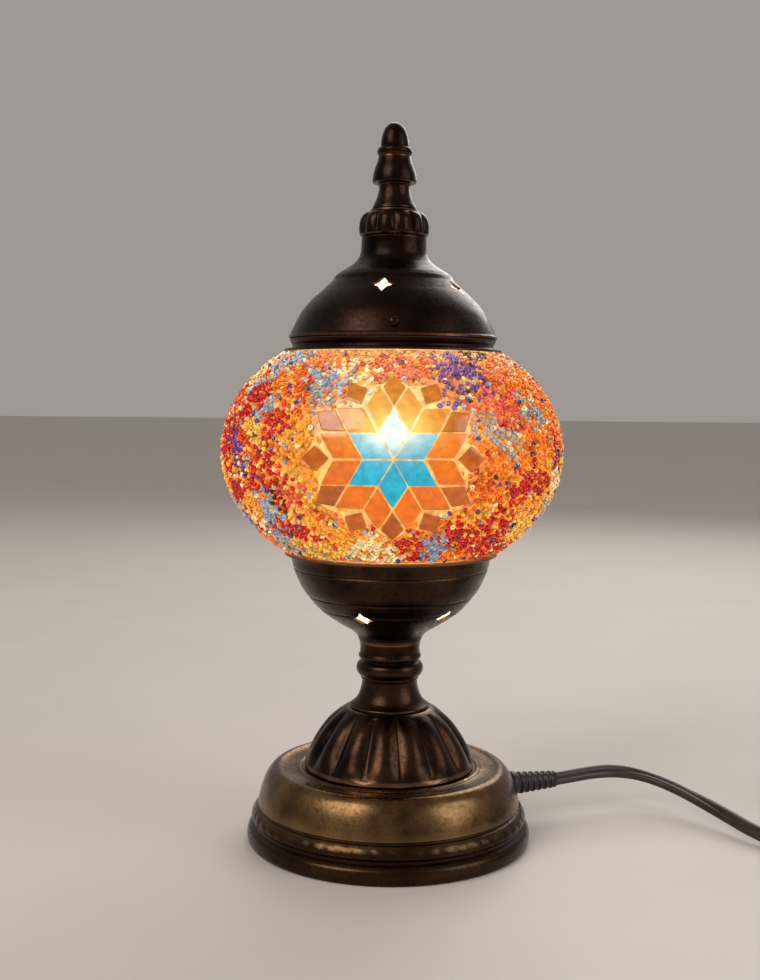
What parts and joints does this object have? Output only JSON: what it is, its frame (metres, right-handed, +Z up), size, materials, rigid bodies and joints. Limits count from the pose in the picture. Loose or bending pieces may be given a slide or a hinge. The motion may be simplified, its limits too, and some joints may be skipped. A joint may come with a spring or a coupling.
{
  "type": "mosaic glass table lamp",
  "caption": "Table lamp: oblate mosaic glass globe of beads and tile medallions on a bronze cup, fluted dome and round base, with a domed cap, finial and corded switch.",
  "frame": {"origin": "centre of the base on the surface that the lamp stands on", "axes": "+Z up the lamp's axis, -Y towards the front medallion, +X to the side that the cord leaves"},
  "size_m": [0.3236, 0.1763, 0.2745],
  "materials": {
    "bronze": "dark antique bronze plating with brass showing on the high spots",
    "steel": "zinc plated",
    "brass": "bright brass",
    "felt": "dark felt",
    "rubber": "matte",
    "globe_glass": "clear blown glass",
    "beads": "mixed colours of seed beads in clear glue",
    "tiles": "cut stained glass in plaster grout",
    "bulb_glass": "frosted",
    "bakelite": "satin",
    "flex": "satin vinyl",
    "rocker_plastic": "gloss"
  },
  "bodies": {
    "root": {"base_shell": "bronze", "base_cover": "steel", "felt_pad": "felt", "base_weight": "steel", "fluted_dome": "bronze", "neck_stem": "bronze", "lower_cup": "bronze", "globe_seat_ring": "steel", "globe_gasket": "rubber", "threaded_tube": "steel", "base_nut": "steel", "base_washer": "steel", "cup_nut": "steel", "cup_washer": "steel", "socket_foot": "bakelite", "socket_body": "bakelite", "socket_sleeve": "brass", "socket_contact": "brass", "inner_lead": "flex", "cord_gland": "flex", "supply_cord": "flex", "switch_cord": "flex", "plug_cord": "flex", "cord_coil": "flex", "coil_tie": "flex", "plug_body": "flex", "plug_pin_1": "brass", "plug_pin_2": "brass", "switch_lower_shell": "flex", "switch_upper_shell": "flex", "switch_contact": "brass"},
    "globe": {"glass_globe": "globe_glass", "bead_crust": "beads", "tile_medallion_1": "tiles", "tile_medallion_2": "tiles", "tile_medallion_3": "tiles", "fitter_ring": "bronze"},
    "cap": {"cap_dome": "bronze", "cap_collar": "bronze", "cap_screw_1": "steel", "cap_screw_2": "steel", "cap_screw_3": "steel", "finial_cone": "bronze", "finial_bell": "bronze", "finial_tip": "bronze", "finial_stud": "steel", "finial_nut": "steel", "finial_washer": "steel"},
    "bulb_foot": {"bulb_contact": "brass", "bulb_insulator": "bakelite"},
    "bulb": {"bulb_screw_cap": "brass", "bulb_glass": "bulb_glass", "bulb_stem": "bulb_glass", "bulb_filament": "steel"},
    "rocker": {"switch_rocker": "rocker_plastic"}
  },
  "joints": [
    {"name": "globe_lift", "type": "slide", "parent": "root", "child": "globe", "axis": [0, 0, 1], "range_m": [0, 0.12]},
    {"name": "cap_lift", "type": "slide", "parent": "globe", "child": "cap", "axis": [0, 0, 1], "range_m": [0, 0.08]},
    {"name": "bulb_turn", "type": "hinge", "parent": "bulb_foot", "child": "bulb", "pos_m": [0, 0, 0.12], "axis": [0, 0, 1], "range_deg": [0, 1080]},
    {"name": "bulb_rise", "type": "slide", "parent": "root", "child": "bulb_foot", "axis": [0, 0, 1], "range_m": [0, 0.0085]},
    {"name": "switch_rock", "type": "hinge", "parent": "root", "child": "rocker", "pos_m": [0.197, -0.0192, 0.0125], "axis": [0, -1, 0], "range_deg": [0, 20]}
  ],
  "couplings": [
    {"joint": "bulb_rise", "follows": "bulb_turn", "m_per_rad": 0.00044882}
  ]
}
